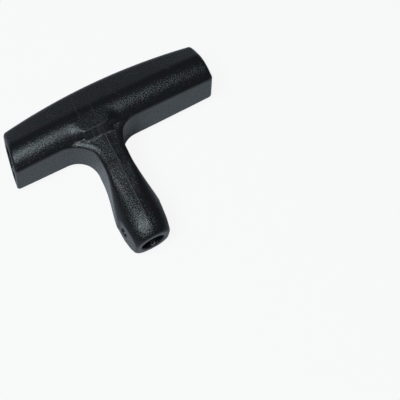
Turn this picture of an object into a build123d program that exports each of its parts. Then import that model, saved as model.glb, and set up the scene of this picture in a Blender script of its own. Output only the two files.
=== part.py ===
"""Recoil starter handle: one hollow moulding, a T lying on its back with the photographed side up."""
import os
from math import atan2, cos, radians, sin, tan

from build123d import *

# crossbar, X along it, Y towards the palm, Z up through its thickness
bar_length = 89.5
underside_drop = 9.5        # bar datum down to the flat underside
palm_rise = 13.6            # bar datum up to the top of the palm's arc
palm_radius = 240.0
palm_nose_half = 6.0        # half thickness at the palm, before rounding
palm_nose_radius = 5.0
ridge_half = 15.2           # half thickness at the finger ridge, before rounding
ridge_drop = 2.4
ridge_radius = 9.0
wall_half = 9.9             # half depth of the flat underside
wall_edge_radius = 1.4
barrel = 1.0                # the bar is this much thinner, each side, at its ends
end_bevel = 0.8
left_cant = 6.0             # the left end leans back, degrees
left_slant = 3.0            # the palm side is this much shorter at the end
right_slant = 0.6
wall_thickness = 2.5
core_edge_radius = 1.2
# stem, left of the bar's middle
stem_offset = 7.4
stem_half_width = 5.8
stem_wall_half = 9.2
root_radius = 10.5
edge_band_width = 1.9       # sloping band between a flat wall and the stem's front
edge_band_rise = 0.8
gable_rise = 0.3            # the stem's front rises this much to the mould line
stem_join_drop = 22.0
# hood where the ridge ends over the stem
hood_drop = 8.2
hood_half = 12.2
hood_rise = 1.2             # the hood's front falls this much from the ridge to its edge
hood_foot_drop = 11.4
hood_foot_radius = 1.5
hood_radius = 0.7
# bulb at the rope end: half width, half depth, mould line's rise and corner radius at each section
neck_run = 6.0              # each run is from the section before it, the first from the stem's join
neck_width = 6.1
neck_radius = 2.2
shoulder_run = 7.0
shoulder_width = 7.5
shoulder_front = 9.8
shoulder_radius = 5.0
bulb_run = 8.5
bulb_width = 9.3
bulb_front = 9.5
bulb_gable = 0.9
bulb_radius = 8.2
mouth_width = 7.3
mouth_front = 7.1
mouth_radius = 6.3
mouth_run = 14.1
rim_radius = 1.4
knot_bore_radius = 4.8
knot_bore_depth = 14.0
rope_bore_radius = 2.5
# flat with a cross hole on each side of the bulb
flat_reach = 8.8            # stem axis to the flat's upper end, the flat leans in towards the mouth
flat_tilt = 6.0
flat_top = 4.0              # cross hole to the flat's upper end
cross_hole_radius = 1.8
cross_hole_inset = 9.0      # mouth to the cross hole
# places that follow from the sizes
stem_x = -stem_offset
neck_drop = stem_join_drop + neck_run
shoulder_drop = neck_drop + shoulder_run
bulb_drop = shoulder_drop + bulb_run
mouth_drop = bulb_drop + mouth_run
bar_y = (mouth_drop - palm_rise) / 2
mid_z = ridge_half
underside_y = bar_y - underside_drop
mouth_y = bar_y - mouth_drop
front_half = stem_wall_half + edge_band_rise
# working lengths
loft_overrun = 3.0          # the bar is lofted this far past its ends, then cut
top_clear = 6.0             # cuts run this far past the faces they open
pick_margin = 0.1           # edges picked by their place are looked for this far round it


def palm_height(x: float) -> float:
    """Height of the palm's arc over the bar datum at a place along the bar."""
    return palm_rise - palm_radius + (palm_radius**2 - x**2) ** 0.5


def bar_points(x: float) -> list[tuple[float, float]]:
    """Corners of the bar's section before rounding, as height and depth, at a place along the bar."""
    thinner = barrel * (2 * x / bar_length) ** 2
    half = [
        (-underside_drop, wall_half - thinner),
        (-ridge_drop, ridge_half - thinner),
        (palm_height(x), palm_nose_half),
    ]
    return half + [(y, -z) for y, z in reversed(half)]


def section_plane(x: float) -> Plane:
    """Plane across the bar at a place along it, with its own X towards the palm."""
    return Plane(origin=(x, bar_y, mid_z), x_dir=(0, 1, 0), z_dir=(1, 0, 0))


def stem_plane(drop: float) -> Plane:
    """Plane across the stem, this far under the bar datum, looking at the mouth."""
    return Plane(origin=(stem_x, bar_y - drop, mid_z), x_dir=(1, 0, 0), z_dir=(0, -1, 0))


def swelling(width: float, front: float, gable: float) -> list[tuple[float, float]]:
    """Corners of the bulb's section before rounding: flat sides, and a front and back with a low gable."""
    right = [(0, front + gable), (width, front), (width, -front)]
    return right + [(-x, -z) for x, z in right]


overrun = bar_length / 2 + loft_overrun
rounding = ((-1, palm_nose_radius), (1, ridge_radius), (0, wall_edge_radius))
core_rounding = ((-1, palm_nose_radius - wall_thickness), (1, ridge_radius - wall_thickness))
flank_turn = atan2(underside_drop - ridge_drop, ridge_half - wall_half)

root_y = underside_y - root_radius
inner = stem_half_width
outer = stem_half_width + root_radius
shoulder = inner - edge_band_width
join_y = bar_y - stem_join_drop
top_y = bar_y - ridge_drop
ends_y = join_y - 2 * edge_band_width

with BuildPart() as stem:
    # root fillets and stem walls in one outline of even depth
    with BuildSketch(Plane.XY.offset(mid_z)) as outline:
        with BuildLine():
            RadiusArc((stem_x + outer, underside_y), (stem_x + inner, root_y), -root_radius)
            RadiusArc((stem_x - inner, root_y), (stem_x - outer, underside_y), -root_radius)
            Polyline((stem_x + inner, root_y), (stem_x + inner, ends_y), (stem_x - inner, ends_y),
                     (stem_x - inner, root_y))
            Polyline((stem_x - outer, underside_y), (stem_x - outer, top_y), (stem_x + outer, top_y),
                     (stem_x + outer, underside_y))
        make_face()
    extrude(amount=front_half, both=True)
    # sloping band round the front and back, and a low gable along the mould line
    for side in (0, -1):
        front = stem.faces().sort_by(Axis.Z)[side]
        chamfer(front.edges(), edge_band_width, edge_band_rise, reference=front)
    peak = front_half + gable_rise
    with BuildSketch(stem_plane(hood_foot_drop)):
        Polygon((-shoulder, front_half), (0, peak), (shoulder, front_half),
                (shoulder, -front_half), (0, -peak), (-shoulder, -front_half), align=None)
    extrude(amount=stem_join_drop - hood_foot_drop)
    split(bisect_by=Plane(origin=(0, join_y, 0), z_dir=(0, -1, 0)), keep=Keep.BOTTOM)

with BuildPart() as hood:
    with BuildSketch(section_plane(stem_x - stem_half_width)) as profile:
        rim = [(-ridge_drop, hood_half + hood_rise), (-hood_drop, hood_half), (-hood_foot_drop, front_half),
               (-hood_foot_drop - 2 * hood_foot_radius, front_half)]
        with BuildLine():
            Polyline(*rim, *[(y, -z) for y, z in reversed(rim)], close=True)
        make_face()
        feet = [v for v in profile.vertices() if abs(v.X + hood_foot_drop) < pick_margin]
        fillet(feet, hood_foot_radius)
    extrude(amount=2 * stem_half_width)
    raised = [e for e in hood.edges() if abs(e.center().Z - mid_z) > front_half + pick_margin]
    fillet([e for e in raised if e.center().Y < top_y - pick_margin], hood_radius)

with BuildPart() as handle:
    # barrelled bar through three sections along the palm's arc
    for station in (-overrun, 0, overrun):
        with BuildSketch(section_plane(station)) as section:
            with BuildLine():
                Polyline(*bar_points(station), close=True)
            make_face()
            for row, radius in rounding:
                fillet(section.vertices().group_by(Axis.X)[row], radius)
    loft()
    add(stem.part)
    add(hood.part)
    # slanted bar ends with their rims bevelled
    for side, slant, cant in ((-1, left_slant, radians(left_cant)), (1, right_slant, 0)):
        lean = atan2(slant, underside_drop + palm_height(bar_length / 2))
        cut = Plane(origin=(side * bar_length / 2, underside_y, mid_z),
                    z_dir=(side * cos(lean) * cos(cant), sin(lean) * cos(cant), sin(cant)))
        split(bisect_by=cut, keep=Keep.BOTTOM)
        chamfer(handle.faces().sort_by(Axis.X)[-1 if side > 0 else 0].edges(), end_bevel)
    # bulb from the stem's own section through rounder ones to the mouth
    with BuildSketch(stem_plane(stem_join_drop)):
        with BuildLine():
            half = [(0, peak), (shoulder, front_half), (inner, stem_wall_half), (inner, -stem_wall_half),
                    (shoulder, -front_half)]
            Polyline(*half, *[(-x, -z) for x, z in half], close=True)
        make_face()
    for drop, width, front, gable, radius in (
        (neck_drop, neck_width, front_half, gable_rise, neck_radius),
        (shoulder_drop, shoulder_width, shoulder_front, gable_rise, shoulder_radius),
        (bulb_drop, bulb_width, bulb_front, bulb_gable, bulb_radius),
        (mouth_drop, mouth_width, mouth_front, bulb_gable, mouth_radius),
    ):
        with BuildSketch(stem_plane(drop)) as ring:
            with BuildLine():
                Polyline(*swelling(width, front, gable), close=True)
            make_face()
            fillet([v for v in ring.vertices() if abs(v.X) > width / 2], radius)
    loft()
    fillet(handle.faces().sort_by(Axis.Y)[0].edges(), rim_radius)
    # bores: the knot's chamber in the bulb, the rope's way up the stem, the bar's hollow
    with BuildSketch(stem_plane(mouth_drop)):
        Circle(knot_bore_radius)
    extrude(amount=-knot_bore_depth, mode=Mode.SUBTRACT)
    with BuildSketch(stem_plane(mouth_drop)):
        Circle(rope_bore_radius)
    extrude(amount=-mouth_drop, mode=Mode.SUBTRACT)
    core_reach = bar_length / 2 + top_clear
    with BuildSketch(section_plane(-core_reach)) as core:
        with BuildLine():
            Polyline(*bar_points(bar_length / 2), close=True)
        make_face()
        offset(amount=-wall_thickness, kind=Kind.INTERSECTION, mode=Mode.REPLACE)
        for row, radius in core_rounding:
            fillet(core.vertices().group_by(Axis.X)[row], radius)
        # what the ridge's rounding leaves of the flanks limits the next one
        flank = core.edges().filter_by(GeomType.LINE).sort_by(SortBy.LENGTH)[0]
        room = flank.length / tan(flank_turn / 2) - pick_margin
        fillet(core.vertices().group_by(Axis.X)[0], min(core_edge_radius, room))
    extrude(amount=2 * core_reach, mode=Mode.SUBTRACT)
    # flats and cross holes on both sides of the bulb
    hole_y = mouth_y + cross_hole_inset
    for side in (1, -1):
        tilt = radians(flat_tilt)
        flat_plane = Plane(origin=(stem_x + side * flat_reach, hole_y + flat_top, mid_z), x_dir=(0, 0, 1),
                           z_dir=(side * cos(tilt), -sin(tilt), 0))
        with BuildSketch(flat_plane):
            Rectangle(3 * mouth_drop, mouth_drop,
                      align=(Align.CENTER, Align.MIN if side > 0 else Align.MAX))
        extrude(amount=top_clear, mode=Mode.SUBTRACT)
    with BuildSketch(Plane(origin=(stem_x, hole_y, mid_z), x_dir=(0, 1, 0), z_dir=(1, 0, 0))):
        Circle(cross_hole_radius)
    extrude(amount=2 * flat_reach, both=True, mode=Mode.SUBTRACT)
    # lying on the floor, centred over the origin
    extent = handle.part.bounding_box()
    rest = Pos(-extent.center().X, -extent.center().Y, -extent.min.Z) * handle.part
    add(rest, mode=Mode.REPLACE)

handle.part.label = "handle"
os.makedirs("parts", exist_ok=True)
export_step(handle.part, "parts/handle.step")
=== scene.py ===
"""Looks of a black moulded pull handle that lies on its back on a pale table."""
import logging
from dataclasses import dataclass, field
from enum import Enum
from math import copysign, radians

import bpy
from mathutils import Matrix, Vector


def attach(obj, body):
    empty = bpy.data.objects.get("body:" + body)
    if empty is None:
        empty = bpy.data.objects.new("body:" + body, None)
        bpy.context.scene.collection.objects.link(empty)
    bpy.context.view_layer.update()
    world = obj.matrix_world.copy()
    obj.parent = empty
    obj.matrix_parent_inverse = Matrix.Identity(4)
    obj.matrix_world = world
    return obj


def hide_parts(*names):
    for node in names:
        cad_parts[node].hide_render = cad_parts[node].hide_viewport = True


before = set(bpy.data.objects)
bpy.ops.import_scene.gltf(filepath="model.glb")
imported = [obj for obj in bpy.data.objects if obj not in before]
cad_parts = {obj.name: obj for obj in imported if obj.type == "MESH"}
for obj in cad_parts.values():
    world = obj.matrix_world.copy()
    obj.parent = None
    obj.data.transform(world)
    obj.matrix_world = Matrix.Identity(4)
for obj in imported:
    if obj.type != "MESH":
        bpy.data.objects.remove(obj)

log = logging.getLogger("handle")
MM = 0.001
Value = bpy.types.NodeSocket | float | tuple[float, ...]


class Socket(Enum):
    """Kinds of socket that the shared effects use."""

    FLOAT = "NodeSocketFloat"
    VECTOR = "NodeSocketVector"


def clear_selection() -> None:
    """Leaves object mode with nothing selected."""
    if bpy.context.object and bpy.context.object.mode != "OBJECT":
        bpy.ops.object.mode_set(mode="OBJECT")
    bpy.ops.object.select_all(action="DESELECT")


def select(piece: bpy.types.Object) -> None:
    """Makes one object the only selected and active one.

    Args:
        piece: the object.
    """
    clear_selection()
    piece.select_set(True)
    bpy.context.view_layer.objects.active = piece


def ramp(value: float, start: float, end: float) -> float:
    """Gives a smooth step from 0 at start to 1 at end.

    Args:
        value: where to read it.
        start: where it leaves 0.
        end: where it reaches 1.

    Returns:
        The step's height.
    """
    share = min(max((value - start) / (end - start), 0.0), 1.0)
    return share * share * (3 - 2 * share)


@dataclass
class NodePad:
    """Adds nodes to one tree and wires them.

    Attributes:
        tree: the tree that is drawn in.
    """

    tree: bpy.types.NodeTree

    def add(self, kind: str, settings: dict | None = None, **inputs: Value) -> bpy.types.Node:
        """Adds a node.

        Args:
            kind: the node's type without its prefix.
            settings: its own properties.
            inputs: values or sockets by input name, with _ for a space.

        Returns:
            The node.
        """
        node = self.tree.nodes.new("ShaderNode" + kind)
        for name, value in (settings or {}).items():
            setattr(node, name, value)
        for name, value in inputs.items():
            self.feed(node.inputs[name.replace("_", " ")], value)
        return node

    def feed(self, socket: bpy.types.NodeSocket, value: Value) -> None:
        """Links a socket or sets its value.

        Args:
            socket: the input.
            value: a socket to link, or a plain value.
        """
        if isinstance(value, bpy.types.NodeSocket):
            self.tree.links.new(value, socket)
        else:
            socket.default_value = value

    def math(self, operation: str, *values: Value, clamp: bool = False) -> bpy.types.NodeSocket:
        """Adds a sum of values or sockets.

        Args:
            operation: the Math node's operation.
            values: its operands.
            clamp: whether the result stays within 0 and 1.

        Returns:
            The result's socket.
        """
        node = self.add("Math", {"operation": operation, "use_clamp": clamp})
        for socket, value in zip(node.inputs, values):
            self.feed(socket, value)
        return node.outputs[0]

    def vector(self, operation: str, *values: Value) -> bpy.types.Node:
        """Adds a sum of vectors.

        Args:
            operation: the Vector Math node's operation.
            values: its operands.

        Returns:
            The node, whose outputs are a vector and a value.
        """
        node = self.add("VectorMath", {"operation": operation})
        for socket, value in zip(node.inputs, values):
            self.feed(socket, value)
        return node

    def mix(self, share: Value, first: Value, second: Value) -> bpy.types.NodeSocket:
        """Mixes two colours.

        Args:
            share: how much of the second one shows.
            first: a colour.
            second: another colour.

        Returns:
            The mixed colour's socket.
        """
        node = self.add("Mix", {"data_type": "RGBA"})
        colours = [socket for socket in node.inputs if socket.type == "RGBA"]
        for socket, value in zip((node.inputs[0], *colours), (share, first, second)):
            self.feed(socket, value)
        return next(socket for socket in node.outputs if socket.type == "RGBA")

    def spread(self, value: Value, low: float, high: float) -> bpy.types.NodeSocket:
        """Maps a range of values to 0 to 1.

        Args:
            value: what is mapped.
            low: the value that gives 0.
            high: the value that gives 1.

        Returns:
            The mapped value's socket.
        """
        node = self.add("MapRange", Value=value, From_Min=low, From_Max=high)
        return node.outputs["Result"]


def group(
    name: str, inputs: dict[str, Socket], outputs: dict[str, Socket]
) -> tuple[bpy.types.NodeTree, NodePad, bpy.types.Node, bpy.types.Node]:
    """Starts a shared effect.

    Args:
        name: the group's name.
        inputs: its inputs.
        outputs: its outputs.

    Returns:
        The tree, a pad that draws in it, its input node and its output node.
    """
    tree = bpy.data.node_groups.new(name, "ShaderNodeTree")
    for title, kind in inputs.items():
        tree.interface.new_socket(title, in_out="INPUT", socket_type=kind.value)
    for title, kind in outputs.items():
        tree.interface.new_socket(title, in_out="OUTPUT", socket_type=kind.value)
    given, result = (tree.nodes.new(kind) for kind in ("NodeGroupInput", "NodeGroupOutput"))
    return tree, NodePad(tree), given, result


def stroke_group() -> bpy.types.NodeTree:
    """Builds a mask of one thin straight stroke seen from above.

    Returns:
        The node group, with the place, the two ends in millimetres and the width as inputs.
    """
    inputs = {name: Socket.VECTOR for name in ("Place", "Start", "End")}
    inputs["Width"] = Socket.FLOAT
    tree, pad, given, result = group("stroke", inputs, {"Mask": Socket.FLOAT})
    place, start, end, width = (given.outputs[name] for name in ("Place", "Start", "End", "Width"))
    flat = pad.vector("MULTIPLY", place, (1, 1, 0)).outputs[0]
    along = pad.vector("SUBTRACT", end, start).outputs[0]
    out = pad.vector("SUBTRACT", flat, start).outputs[0]
    dots = [pad.vector("DOT_PRODUCT", first, along).outputs["Value"] for first in (out, along)]
    share = pad.math("DIVIDE", *dots, clamp=True)
    foot = pad.add("VectorMath", {"operation": "SCALE"}, Vector=along, Scale=share)
    gap = pad.vector("DISTANCE", out, foot.outputs[0]).outputs["Value"]
    near = pad.math("SUBTRACT", 1.0, pad.math("DIVIDE", gap, width), clamp=True)
    pad.feed(result.inputs["Mask"], near)
    return tree


@dataclass(frozen=True)
class Stroke:
    """One fine mark on the plastic.

    Attributes:
        start: one end, X and Y in millimetres.
        end: the other end.
        width: from the stroke's middle to where it fades out, in millimetres.
        strength: how much of the mark shows.
    """

    start: tuple[float, float]
    end: tuple[float, float]
    width: float
    strength: float


def marks_of_use() -> tuple[Stroke, ...]:
    """Lists the mould lines with a painted highlight along them, the painted highlights on the
    hood's lip and foot, the ejector's mark and the scratches.

    Returns:
        The strokes.
    """
    line, scratch, ejector = 0.2, 0.16, 0.22
    # Mould lines, drawn pale as a painted highlight along each raised line.
    mould = [
        Stroke((-5.0, 10.0), (-6.1, -27.0), 1.5 * line, 1.0),
        Stroke((-4.84, 23.8), (-5.07, 17.3), line, 0.4),
        Stroke((-10.1, 31.7), (-11.0, 25.0), line, 0.3),
        Stroke((-11.0, 25.0), (-11.1, 19.3), line, 0.3),
    ]
    # Painted highlights on the hood's lip and foot, where light catches their edges.
    painted_edge_highlights = [
        Stroke((-12.6, 13.9), (-2.6, 14.0), 0.36, 0.65),
        Stroke((-12.0, 10.8), (-9.4, 10.8), 0.55, 0.5),
        Stroke((-9.4, 10.8), (-4.0, 10.9), 0.4, 0.25),
    ]
    corners = [(-10.0, -4.2), (-6.9, -4.0), (-6.8, -6.9), (-9.9, -7.1)]
    sides = zip(corners, corners[1:] + corners[:1])
    pressed = [Stroke(start, end, ejector, 0.28) for start, end in sides]
    scratches = [
        Stroke((4.5, 27.5), (7.0, 22.0), scratch, 0.35),
        Stroke((14.0, 30.0), (19.0, 28.5), scratch, 0.3),
        Stroke((-22.0, 29.0), (-19.0, 26.0), scratch, 0.35),
        Stroke((28.0, 26.5), (31.0, 22.5), scratch, 0.25),
    ]
    return (*mould, *painted_edge_highlights, *pressed, *scratches)


@dataclass(frozen=True)
class ToolMarks:
    """Fine lines from the mould, down the face under the hood's lip.

    Attributes:
        middle: the face's middle, X and Y in millimetres.
        reach: from its middle to where the lines have faded out.
        spacing: from one line to the next, in millimetres.
        contrast: how much sharper the lines are than their noise.
        floor: how much of the noise leaves no line.
        strength: how much of the lines shows.
    """

    middle: tuple[float, float] = (-7.2, 12.3)
    reach: tuple[float, float] = (5.2, 1.9)
    spacing: float = 0.5
    contrast: float = 2.4
    floor: float = 0.85
    strength: float = 0.75

    def build(self, pad: NodePad, level: bpy.types.Node) -> bpy.types.NodeSocket:
        """Builds the lines.

        Args:
            pad: pad of the material's tree.
            level: the node that gives the place's X, Y and Z in millimetres.

        Returns:
            The lines' height as a socket.
        """
        lines = pad.add("TexNoise", {"noise_dimensions": "1D"}, W=level.outputs["X"],
                        Scale=1 / self.spacing, Detail=1.0)
        shown = pad.math("MULTIPLY_ADD", lines.outputs["Fac"], self.contrast, -self.floor,
                         clamp=True)
        for name, middle, reach in zip("XY", self.middle, self.reach):
            away = pad.math("DIVIDE", pad.math("SUBTRACT", level.outputs[name], middle), reach)
            inside = pad.math("SUBTRACT", 1.0, pad.math("MULTIPLY", away, away), clamp=True)
            shown = pad.math("MULTIPLY", shown, inside)
        return pad.math("MULTIPLY", shown, self.strength)


@dataclass(frozen=True)
class MouldedPlastic:
    """Black moulded plastic with the fine grain of its mould.

    Attributes:
        marks: mould lines with a painted highlight along them, painted highlights on the hood's
            lip and foot, the ejector's mark and scratches.
        tooling: the lines under the hood.
        marked_above: marks lie only on the side above this height, in millimetres.
        colour: linear base colour.
        tint: base colour where the plastic looks a little warmer.
        tint_mm: size of the patches of tint.
        tint_noise: the noise's values between which the tint comes in.
        wear_and_highlight_colour: base colour where a mark has scuffed the surface pale.
        wear_and_highlight_share: how much of that shows in the strongest mark.
        cool_light_tint: tint of what the surface mirrors.
        ior: refractive index.
        roughness: mean roughness of the grained sides.
        wall_roughness: mean roughness of the walls, which the mould wiped smoother.
        wall_tilt: heights of the normal between which a wall turns into a grained side.
        grain_roughness: how much the roughness changes from grain to grain.
        grain_mm: size of a grain.
        relief_mm: height of the grains and of the marks.
    """

    marks: tuple[Stroke, ...]
    tooling: ToolMarks = ToolMarks()
    marked_above: float = 14.0
    colour: tuple[float, float, float] = (0.0068, 0.0092, 0.0112)
    tint: tuple[float, float, float] = (0.0100, 0.0088, 0.0108)
    tint_mm: float = 6.25
    tint_noise: tuple[float, float] = (0.40, 0.62)
    # worn: pale base colour of the marks: wear on the scratches and the ejector's mark, a painted
    # highlight on the mould lines and on the hood's lip and foot.
    wear_and_highlight_colour: tuple[float, float, float] = (0.10, 0.115, 0.12)
    wear_and_highlight_share: float = 0.8
    # sheen: cool tint of what the surface mirrors, a painted cast of cooler light on every
    # reflection.
    cool_light_tint: tuple[float, float, float] = (0.80, 0.94, 1.0)
    ior: float = 1.5
    roughness: float = 0.26
    wall_roughness: float = 0.13
    wall_tilt: tuple[float, float] = (0.15, 0.55)
    grain_roughness: float = 0.16
    grain_mm: float = 0.5
    relief_mm: float = 0.17

    def build(self, name: str) -> bpy.types.Material:
        """Builds the material.

        Args:
            name: name of the material.

        Returns:
            The material, ready for a piece's slot.
        """
        material = bpy.data.materials.new(name)
        material.use_nodes = True
        shader = material.node_tree.nodes["Principled BSDF"]
        pad = NodePad(material.node_tree)
        scaled = pad.add("VectorMath", {"operation": "SCALE"},
                         Vector=pad.add("TexCoord").outputs["Object"], Scale=1 / MM)
        here = scaled.outputs[0]
        grain = pad.add("TexNoise", Vector=here, Scale=1 / self.grain_mm, Detail=3.0,
                        Roughness=0.6)
        grains = grain.outputs["Fac"]
        marks = self.marked(pad, here)
        bump = pad.add("Bump", Strength=1.0, Distance=self.relief_mm * MM,
                       Height=pad.math("ADD", grains, marks))
        # Pale marks: wear on the scratches and the ejector's mark, painted highlight on the mould
        # lines and the hood's lip and foot.
        wear_and_highlight = pad.math("MULTIPLY", marks, self.wear_and_highlight_share, clamp=True)
        for socket, value in {
            "IOR": self.ior,
            # A cool tint on every reflection, a painted cast of cooler light.
            "Specular Tint": (*self.cool_light_tint, 1),
            "Normal": bump.outputs["Normal"],
            "Base Color": pad.mix(wear_and_highlight, self.clouded(pad, here), (*self.wear_and_highlight_colour, 1)),
            "Roughness": self.roughened(pad, grains),
        }.items():
            pad.feed(shader.inputs[socket], value)
        return material

    def clouded(self, pad: NodePad, here: bpy.types.NodeSocket) -> bpy.types.NodeSocket:
        """Mixes the base colour and its tint in soft patches.

        Args:
            pad: pad of the material's tree.
            here: the place in millimetres.

        Returns:
            The colour's socket.
        """
        cloud = pad.add("TexNoise", Vector=here, Scale=1 / self.tint_mm, Detail=3.0)
        share = pad.spread(cloud.outputs["Fac"], *self.tint_noise)
        return pad.mix(share, (*self.colour, 1), (*self.tint, 1))

    def roughened(self, pad: NodePad, grains: bpy.types.NodeSocket) -> bpy.types.NodeSocket:
        """Makes the walls smoother than the sides that face up and down.

        Args:
            pad: pad of the material's tree.
            grains: the grain's noise.

        Returns:
            The roughness as a socket.
        """
        facing = pad.add("SeparateXYZ", Vector=pad.add("TexCoord").outputs["Normal"])
        steep, level = self.wall_tilt
        wall = pad.spread(pad.math("ABSOLUTE", facing.outputs["Z"]), level, steep)
        wiped = pad.math("MULTIPLY", wall, self.wall_roughness - self.roughness)
        mean = pad.math("ADD", wiped, self.roughness - self.grain_roughness / 2)
        return pad.math("MULTIPLY_ADD", grains, self.grain_roughness, mean)

    def marked(self, pad: NodePad, here: bpy.types.NodeSocket) -> bpy.types.NodeSocket:
        """Adds up the fine marks on the side that faces up.

        Args:
            pad: pad of the material's tree.
            here: the place in millimetres.

        Returns:
            The marks' height as a socket.
        """
        level = pad.add("SeparateXYZ", Vector=here)
        total = self.tooling.build(pad, level)
        tree = stroke_group()
        for mark in self.marks:
            node = pad.add("Group", {"node_tree": tree}, Place=here, Start=(*mark.start, 0),
                           End=(*mark.end, 0), Width=mark.width)
            shown = pad.math("MULTIPLY", node.outputs["Mask"], mark.strength)
            total = pad.math("MAXIMUM", total, shown)
        upper = pad.math("GREATER_THAN", level.outputs["Z"], self.marked_above)
        return pad.math("MULTIPLY", total, upper)


@dataclass(frozen=True)
class Studio:
    """Plain pale table, a soft lamp and the camera.

    Attributes:
        camera_mm: the camera's place.
        camera_turn: its turn in degrees.
        lens: its focal length.
        sensor: its sensor's width, in millimetres like the lens.
        near_clip: where its view starts, in metres.
        key_place: where the lamp hangs, in metres.
        key_size: its width in metres.
        key_power: its power in watts.
        table_size: width of the table, in metres.
        table_colour: what the table reflects.
        table_glow: how far the camera sees the table as plain white.
        surround: the world's level.
    """

    camera_mm: tuple[float, float, float] = (-50.21, -140.62, 396.15)
    camera_turn: tuple[float, float, float] = (18.82, -0.916, -28.28)
    lens: float = 91.007
    sensor: float = 36
    near_clip: float = 0.01
    key_place: tuple[float, float, float] = (-0.33, -0.12, 0.93)
    key_size: float = 0.42
    key_power: float = 7.6
    table_size: float = 6
    table_colour: tuple[float, float, float] = (0.50, 0.56, 0.62)
    table_glow: float = 0.9
    surround: float = 0.06

    def table(self) -> None:
        """Builds the table top under the handle, whose shadow stays on it."""
        clear_selection()
        bpy.ops.mesh.primitive_plane_add(size=self.table_size, location=(0, 0, 0))
        table = bpy.context.object
        table.name = "table"
        material = bpy.data.materials.new("white_table")
        material.use_nodes = True
        pad = NodePad(material.node_tree)
        shader = material.node_tree.nodes["Principled BSDF"]
        shader.inputs["Base Color"].default_value = (*self.table_colour, 1)
        shader.inputs["Roughness"].default_value = 1
        shader.inputs["Specular IOR Level"].default_value = 0
        glow = pad.add("Emission", Color=(1, 1, 1, 1))
        camera_ray = pad.add("LightPath").outputs["Is Camera Ray"]
        seen = pad.math("MULTIPLY", camera_ray, self.table_glow)
        mix = pad.add("MixShader")
        for socket, value in zip(mix.inputs, (seen, shader.outputs[0], glow.outputs[0])):
            pad.feed(socket, value)
        pad.feed(material.node_tree.nodes["Material Output"].inputs["Surface"], mix.outputs[0])
        table.data.materials.append(material)

    def world(self) -> None:
        """Sets an even dim surround, white to the camera."""
        world = bpy.data.worlds.new("surround")
        world.use_nodes = True
        pad = NodePad(world.node_tree)
        ground = world.node_tree.nodes["Background"]
        ground.inputs["Color"].default_value = (1, 1, 1, 1)
        camera_ray = pad.add("LightPath").outputs["Is Camera Ray"]
        level = pad.add("MapRange", Value=camera_ray, To_Min=self.surround, To_Max=1.0)
        pad.feed(ground.inputs["Strength"], level.outputs["Result"])
        bpy.context.scene.world = world

    def key_lamp(self) -> None:
        """Hangs one square soft box aimed at the handle."""
        clear_selection()
        bpy.ops.object.light_add(type="AREA", location=self.key_place)
        lamp = bpy.context.object
        lamp.name = "key"
        lamp.data.shape = "SQUARE"
        lamp.data.size = self.key_size
        lamp.data.energy = self.key_power
        lamp.rotation_euler = (-Vector(self.key_place)).to_track_quat("-Z", "Y").to_euler()

    def camera(self) -> None:
        """Creates the camera at the photograph's place."""
        clear_selection()
        bpy.ops.object.camera_add()
        camera = bpy.context.object
        camera.name = "camera"
        camera.location = Vector(self.camera_mm) * MM
        camera.rotation_euler = [radians(turn) for turn in self.camera_turn]
        camera.data.lens = self.lens
        camera.data.sensor_width = self.sensor
        camera.data.clip_start = self.near_clip
        bpy.context.scene.camera = camera

    def build(self) -> None:
        """Builds the stage, the light and the camera."""
        self.table()
        self.world()
        self.key_lamp()
        self.camera()
        bpy.context.scene.view_settings.view_transform = "Standard"


@dataclass(frozen=True)
class Hood:
    """The hood over the stem, whose top runs on level from the ridge. Sizes in millimetres.

    A drop is measured from the bar's datum towards the mouth, a height from the parting plane.

    Attributes:
        ridge_drop: where the hood's top starts at the ridge.
        lip_drop: where its lip is.
        foot_drop: where its face meets the stem.
        ridge_height: height of its top at the ridge.
        fall: how much the frame's hood falls from the ridge to its lip.
        rise: how much its lip is lifted.
        rise_drops: drops between which that rise comes in.
        crown_half: half the width that gets the whole rise.
        wall_half: half the width with its side walls.
        reach: half the width over which it blends into the ridge.
        side_drops: drops between which the blend fades out under the lip.
        stem_height: what lies lower isn't part of its top or face.
        flank_height: what lies lower stays as it is.
        margin: how far before ridge_drop the rise starts.
    """

    ridge_drop: float = 2.4
    lip_drop: float = 8.2
    foot_drop: float = 11.4
    ridge_height: float = 13.4
    fall: float = 1.2
    rise: float = 1.2
    rise_drops: tuple[float, float] = (1.8, 7.2)
    crown_half: float = 4.6
    wall_half: float = 6.2
    reach: float = 10.5
    side_drops: tuple[float, float] = (7.9, 9.3)
    stem_height: float = 9.9
    flank_height: float = 9.0
    margin: float = 0.1

    def lifted(self, across: float, drop: float, depth: float) -> float:
        """Lifts the lip and blends the hood's sides into the ridge.

        Args:
            across: place across the stem from its middle.
            drop: how far below the bar's datum.
            depth: height over the parting plane, negative under it.

        Returns:
            The height after it.
        """
        height, off = abs(depth), abs(across)
        beside = off > self.reach or not self.ridge_drop - self.margin < drop < self.foot_drop
        if beside or height < self.flank_height:
            return depth
        rise = self.rise * ramp(drop, *self.rise_drops)
        lift = 0.0
        if height > self.stem_height:
            lift = rise * (1 - ramp(drop, self.lip_drop, self.foot_drop))
            lift *= 1 - ramp(off, self.crown_half, self.wall_half)
        down = (min(drop, self.lip_drop) - self.ridge_drop) / (self.lip_drop - self.ridge_drop)
        crest = self.ridge_height - self.fall * down + rise
        blend = (1 - ramp(off, self.crown_half, self.reach)) * (1 - ramp(drop, *self.side_drops))
        return copysign(height + max(lift, blend * (crest - height)), depth)


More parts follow.
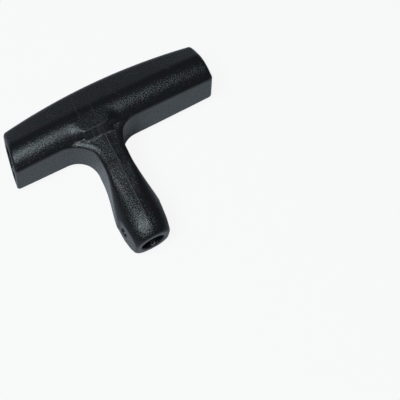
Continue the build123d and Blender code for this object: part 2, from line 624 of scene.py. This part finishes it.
@dataclass(frozen=True)
class Lean:
    """How the stem leans and twists a little out of true. Sizes in millimetres.

    Attributes:
        root_drop: where the lean is measured from.
        run: from there to the mouth.
        root_shift: sideways shift at the root.
        mouth_shift: sideways shift at the mouth.
        root_shear: shift for each millimetre of height at the root.
        mouth_shear: the same at the mouth.
        fade: drops between which the lean comes in under the bar.
        reach: half the width that it holds for.
    """

    root_drop: float = 12.0
    run: float = 38.0
    root_shift: float = 0.8
    mouth_shift: float = -0.7
    root_shear: float = 0.085
    mouth_shear: float = 0.135
    fade: tuple[float, float] = (9.0, 17.0)
    reach: float = 17.0

    def shift(self, across: float, drop: float, depth: float) -> float:
        """Gives how far a place of the stem goes sideways.

        Args:
            across: place across the stem from its middle.
            drop: how far below the bar's datum.
            depth: height over the parting plane.

        Returns:
            The shift.
        """
        if abs(across) >= self.reach:
            return 0.0
        along = min(max((drop - self.root_drop) / self.run, 0.0), 1.0)
        shift = self.root_shift + (self.mouth_shift - self.root_shift) * along
        shear = self.root_shear + (self.mouth_shear - self.root_shear) * along
        return ramp(drop, *self.fade) * (shift + shear * depth)


@dataclass(frozen=True)
class Handle:
    """The one moulding of the handle, with a finer form round its stem. Sizes in millimetres.

    Attributes:
        finish: the plastic.
        hood: the hood's finer form.
        lean: the stem's lean.
        stem_x: the stem's middle.
        datum_y: the bar's datum, that drops are measured from towards the mouth.
        mid_z: the parting plane's height.
        inset: how far the finer form stays within the frame's height.
        weld: corners of the frame's mesh that are nearer than this become one.
        voxel: size of the finer mesh's squares.
        passes: how often the finer mesh is smoothed.
        smoothing: how far each pass evens it out.
    """

    finish: MouldedPlastic = field(default_factory=lambda: MouldedPlastic(marks_of_use()))
    hood: Hood = Hood()
    lean: Lean = Lean()
    stem_x: float = -7.006
    datum_y: float = 22.0
    mid_z: float = 13.449
    inset: float = 0.01
    weld: float = 0.002
    voxel: float = 0.46
    passes: int = 3
    smoothing: float = 0.5

    def moved(self, point: Vector) -> Vector:
        """Gives a vertex its place in the finer form.

        Args:
            point: the vertex, in metres.

        Returns:
            Its new place, in metres.
        """
        across = point.x / MM - self.stem_x
        drop = self.datum_y - point.y / MM
        depth = self.hood.lifted(across, drop, point.z / MM - self.mid_z)
        across += self.lean.shift(across, drop, depth)
        limit = self.mid_z - self.inset
        depth = min(max(depth, -limit), limit)
        return Vector((across + self.stem_x, self.datum_y - drop, depth + self.mid_z)) * MM

    def finish_with(self, piece: bpy.types.Object, kind: str, **settings: str | float) -> None:
        """Adds a modifier to a piece and applies it.

        Args:
            piece: the selected object.
            kind: the modifier's type.
            settings: its properties.
        """
        modifier = piece.modifiers.new(kind.lower(), kind)
        for name, value in settings.items():
            setattr(modifier, name, value)
        bpy.ops.object.modifier_apply(modifier=modifier.name)

    def build(self) -> None:
        """Makes the finer moulding and dresses it in its plastic."""
        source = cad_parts["handle"]
        select(source)
        bpy.ops.object.duplicate()
        piece = bpy.context.object
        piece.name = "moulding"
        piece.parent = None
        piece.data.transform(source.matrix_world)
        piece.matrix_world.identity()
        bpy.ops.object.mode_set(mode="EDIT")
        bpy.ops.mesh.select_all(action="SELECT")
        bpy.ops.mesh.remove_doubles(threshold=self.weld * MM)
        bpy.ops.object.mode_set(mode="OBJECT")
        self.finish_with(piece, "REMESH", mode="VOXEL", voxel_size=self.voxel * MM, adaptivity=0.0)
        for vertex in piece.data.vertices:
            vertex.co = self.moved(vertex.co)
        self.finish_with(piece, "SMOOTH", factor=self.smoothing, iterations=self.passes)
        bpy.ops.object.shade_smooth()
        piece.data.materials.clear()
        piece.data.materials.append(self.finish.build("black_plastic"))
        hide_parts("handle")
        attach(piece, "root")
        log.info("moulding of %d faces", len(piece.data.polygons))


def main() -> None:
    """Builds the handle and its studio."""
    logging.basicConfig(level=logging.INFO)
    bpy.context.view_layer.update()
    Handle().build()
    Studio().build()


if __name__ == "__main__":
    main()
